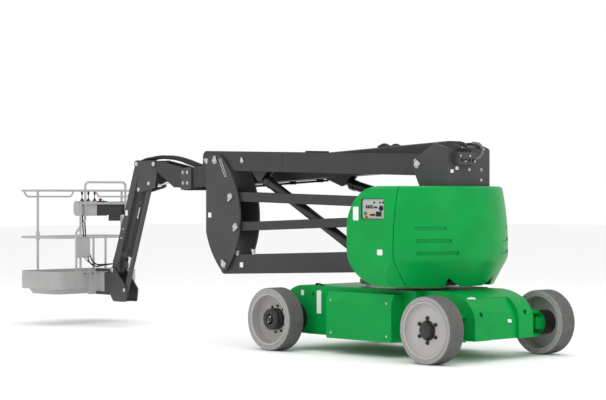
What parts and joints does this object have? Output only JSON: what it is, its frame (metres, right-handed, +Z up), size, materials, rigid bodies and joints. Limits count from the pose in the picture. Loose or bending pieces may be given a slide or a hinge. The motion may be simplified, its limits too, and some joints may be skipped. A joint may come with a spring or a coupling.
{
  "type": "articulating boom lift",
  "caption": "Electric articulating boom lift: four-wheel chassis, slewing turntable, folding riser linkage, telescopic boom, jib and railed platform.",
  "frame": {"origin": "on the ground, under the slew axis and midway between the axles and the tracks", "axes": "+X towards the steered wheels and the turntable's tail, +Y to the left, +Z up; the boom and the platform are stowed towards -X"},
  "size_m": [7.0295, 1.74, 1.9867],
  "materials": {
    "green": "satin",
    "charcoal": "satin",
    "light_grey": "satin",
    "wheel_grey": "satin",
    "black_paint": "satin",
    "black_plastic": "matt",
    "tyre": "matt",
    "chrome": "polished",
    "steel": "machined",
    "equipment": "satin"
  },
  "bodies": {
    "chassis": {"chassis_frame": "green", "front_cover": "green", "battery_box_left": "green", "battery_box_right": "green", "slew_ring": "steel", "drive_gearboxes": "black_paint"},
    "steering_left": {"steering_knuckle_left": "green"},
    "steering_right": {"steering_knuckle_right": "green"},
    "turntable": {"turntable_base": "charcoal", "tail_counterweight": "green", "hydraulic_power_unit": "equipment", "charger_cabinet": "equipment", "ground_control_box": "light_grey"},
    "hood_left": {"hood_left": "green"},
    "hood_right": {"hood_right": "green"},
    "lower_arm": {"lower_arm": "charcoal"},
    "lower_tie": {"lower_tie": "charcoal"},
    "knuckle": {"knuckle_plates": "charcoal"},
    "upper_arm": {"upper_arm": "charcoal"},
    "upper_tie": {"upper_tie": "charcoal"},
    "rear_head": {"rear_head": "charcoal", "head_valve_box": "black_plastic"},
    "lift_barrel": {"lift_cylinder_barrel": "black_paint"},
    "lift_rod": {"lift_cylinder_rod": "chrome"},
    "boom_outer": {"boom_outer": "charcoal"},
    "boom_inner": {"boom_inner": "charcoal"},
    "boom_barrel": {"boom_cylinder_barrel": "black_paint"},
    "boom_rod": {"boom_cylinder_rod": "chrome"},
    "jib_head": {"jib_head": "charcoal"},
    "jib_beam": {"jib_beam": "charcoal"},
    "jib_link": {"jib_link": "charcoal"},
    "jib_foot": {"jib_foot": "charcoal"},
    "jib_barrel": {"jib_cylinder_barrel": "black_paint"},
    "jib_rod": {"jib_cylinder_rod": "chrome"},
    "level_barrel": {"level_cylinder_barrel": "black_paint"},
    "level_rod": {"level_cylinder_rod": "chrome"},
    "platform": {"platform_rotator": "charcoal", "platform_deck": "light_grey", "platform_rails": "light_grey", "platform_console": "light_grey"},
    "entry_bar": {"entry_bar": "light_grey"},
    "wheel_front_left": {"tyre_front_left": "tyre", "rim_front_left": "wheel_grey", "hub_front_left": "black_paint"},
    "wheel_front_right": {"tyre_front_right": "tyre", "rim_front_right": "wheel_grey", "hub_front_right": "black_paint"},
    "wheel_rear_left": {"tyre_rear_left": "tyre", "rim_rear_left": "wheel_grey", "hub_rear_left": "black_paint"},
    "wheel_rear_right": {"tyre_rear_right": "tyre", "rim_rear_right": "wheel_grey", "hub_rear_right": "black_paint"}
  },
  "joints": [
    {"name": "steer_left", "type": "hinge", "parent": "chassis", "child": "steering_left", "pos_m": [1.0075, 0.545, 0.3], "axis": [0, 0, 1], "range_deg": [-35, 35]},
    {"name": "front_wheel_left_spin", "type": "hinge", "parent": "steering_left", "child": "wheel_front_left", "pos_m": [1.0075, 0.68, 0.3], "axis": [0, 1, 0], "continuous": true},
    {"name": "rear_wheel_left_spin", "type": "hinge", "parent": "chassis", "child": "wheel_rear_left", "pos_m": [-1.0075, 0.68, 0.3], "axis": [0, 1, 0], "continuous": true},
    {"name": "steer_right", "type": "hinge", "parent": "chassis", "child": "steering_right", "pos_m": [1.0075, -0.545, 0.3], "axis": [0, 0, 1], "range_deg": [-35, 35]},
    {"name": "front_wheel_right_spin", "type": "hinge", "parent": "steering_right", "child": "wheel_front_right", "pos_m": [1.0075, -0.68, 0.3], "axis": [0, 1, 0], "continuous": true},
    {"name": "rear_wheel_right_spin", "type": "hinge", "parent": "chassis", "child": "wheel_rear_right", "pos_m": [-1.0075, -0.68, 0.3], "axis": [0, 1, 0], "continuous": true},
    {"name": "slew", "type": "hinge", "parent": "chassis", "child": "turntable", "pos_m": [0, 0, 0.652], "axis": [0, 0, 1], "range_deg": [-177.5, 177.5]},
    {"name": "hood_right_open", "type": "hinge", "parent": "turntable", "child": "hood_right", "pos_m": [0, -0.318, 1.556], "axis": [-1, 0, 0], "range_deg": [0, 60]},
    {"name": "hood_left_open", "type": "hinge", "parent": "turntable", "child": "hood_left", "pos_m": [0, 0.318, 1.556], "axis": [1, 0, 0], "range_deg": [0, 60]},
    {"name": "riser_lift", "type": "hinge", "parent": "turntable", "child": "lower_arm", "pos_m": [0.28, -0.15, 0.872], "axis": [0, 1, 0], "range_deg": [0, 57]},
    {"name": "lower_tie_swing", "type": "hinge", "parent": "turntable", "child": "lower_tie", "pos_m": [0.46, -0.15, 1.262], "axis": [0, 1, 0], "range_deg": [0, 57]},
    {"name": "knuckle_level", "type": "hinge", "parent": "lower_arm", "child": "knuckle", "pos_m": [-2.315, -0.15, 0.772], "axis": [0, -1, 0], "range_deg": [0, 57]},
    {"name": "upper_arm_lift", "type": "hinge", "parent": "knuckle", "child": "upper_arm", "pos_m": [-2.456, -0.15, 1.838], "axis": [0, -1, 0], "range_deg": [0, 57]},
    {"name": "upper_tie_swing", "type": "hinge", "parent": "knuckle", "child": "upper_tie", "pos_m": [-2.218, -0.15, 1.469], "axis": [0, -1, 0], "range_deg": [0, 57]},
    {"name": "rear_head_level", "type": "hinge", "parent": "upper_arm", "child": "rear_head", "pos_m": [0.384, -0.15, 1.764], "axis": [0, 1, 0], "range_deg": [0, 57]},
    {"name": "lift_cylinder_swing", "type": "hinge", "parent": "lower_arm", "child": "lift_barrel", "pos_m": [-0.33, -0.15, 0.848], "axis": [0, -1, 0], "range_deg": [0, 9.69]},
    {"name": "lift_cylinder_extend", "type": "slide", "parent": "lift_barrel", "child": "lift_rod", "axis": [-0.8834, 0, 0.4686], "range_m": [0, 1.41019]},
    {"name": "boom_luff", "type": "hinge", "parent": "rear_head", "child": "boom_outer", "pos_m": [0.64, 0.14, 1.897], "axis": [0, 1, 0], "range_deg": [0, 75]},
    {"name": "boom_cylinder_swing", "type": "hinge", "parent": "rear_head", "child": "boom_barrel", "pos_m": [0.462, 0.14, 1.278], "axis": [0, 1, 0], "range_deg": [0, 63.21]},
    {"name": "boom_cylinder_extend", "type": "slide", "parent": "boom_barrel", "child": "boom_rod", "axis": [-0.9746, 0, 0.2238], "range_m": [0, 0.69287]},
    {"name": "telescope", "type": "slide", "parent": "boom_outer", "child": "boom_inner", "axis": [-0.9987, 0, -0.0506], "range_m": [0, 1.9]},
    {"name": "jib_head_level", "type": "hinge", "parent": "boom_inner", "child": "jib_head", "pos_m": [-3.852, 0.14, 1.824], "axis": [0, -1, 0], "range_deg": [0, 75]},
    {"name": "level_cylinder_swing", "type": "hinge", "parent": "boom_inner", "child": "level_barrel", "pos_m": [-3.15, 0.14, 1.715], "axis": [0, 1, 0], "range_deg": [0, 9.35]},
    {"name": "level_cylinder_extend", "type": "slide", "parent": "level_barrel", "child": "level_rod", "axis": [-0.988, 0, -0.1541], "range_m": [-0.26294, 0]},
    {"name": "jib_luff", "type": "hinge", "parent": "jib_head", "child": "jib_beam", "pos_m": [-4.19, 0.14, 1.83], "axis": [0, 1, 0], "range_deg": [0, 100]},
    {"name": "jib_link_swing", "type": "hinge", "parent": "jib_head", "child": "jib_link", "pos_m": [-3.97, 0.14, 1.612], "axis": [0, 1, 0], "range_deg": [0, 100]},
    {"name": "jib_foot_level", "type": "hinge", "parent": "jib_beam", "child": "jib_foot", "pos_m": [-4.62, 0.14, 0.635], "axis": [0, -1, 0], "range_deg": [0, 100]},
    {"name": "jib_cylinder_swing", "type": "hinge", "parent": "jib_head", "child": "jib_barrel", "pos_m": [-4.15, 0.14, 1.545], "axis": [0, 1, 0], "range_deg": [0, 103.74]},
    {"name": "jib_cylinder_extend", "type": "slide", "parent": "jib_barrel", "child": "jib_rod", "axis": [-0.3505, 0, -0.9366], "range_m": [0, 0.43496]},
    {"name": "platform_rotate", "type": "hinge", "parent": "jib_foot", "child": "platform", "pos_m": [-4.745, 0.14, 0.378], "axis": [0, 0, 1], "range_deg": [-80, 80]},
    {"name": "entry_bar_raise", "type": "slide", "parent": "platform", "child": "entry_bar", "axis": [0, 0, 1], "range_m": [0, 0.45]}
  ],
  "couplings": [
    {"joint": "steer_right", "follows": "steer_left", "ratio": 1},
    {"joint": "lower_tie_swing", "follows": "riser_lift", "ratio": 1},
    {"joint": "knuckle_level", "follows": "riser_lift", "ratio": 1},
    {"joint": "upper_arm_lift", "follows": "riser_lift", "ratio": 1},
    {"joint": "upper_tie_swing", "follows": "riser_lift", "ratio": 1},
    {"joint": "rear_head_level", "follows": "riser_lift", "ratio": 1},
    {"joint": "lift_cylinder_swing", "follows": "riser_lift", "ratio": 0.17},
    {"joint": "lift_cylinder_extend", "follows": "riser_lift", "m_per_rad": 1.4175},
    {"joint": "boom_cylinder_swing", "follows": "boom_luff", "ratio": 0.84276},
    {"joint": "boom_cylinder_extend", "follows": "boom_luff", "m_per_rad": 0.52931},
    {"joint": "jib_head_level", "follows": "boom_luff", "ratio": 1},
    {"joint": "level_cylinder_swing", "follows": "boom_luff", "ratio": 0.1246},
    {"joint": "level_cylinder_extend", "follows": "boom_luff", "m_per_rad": -0.20086},
    {"joint": "jib_link_swing", "follows": "jib_luff", "ratio": 1},
    {"joint": "jib_foot_level", "follows": "jib_luff", "ratio": 1},
    {"joint": "jib_cylinder_swing", "follows": "jib_luff", "ratio": 1.0374},
    {"joint": "jib_cylinder_extend", "follows": "jib_luff", "m_per_rad": 0.24921}
  ]
}
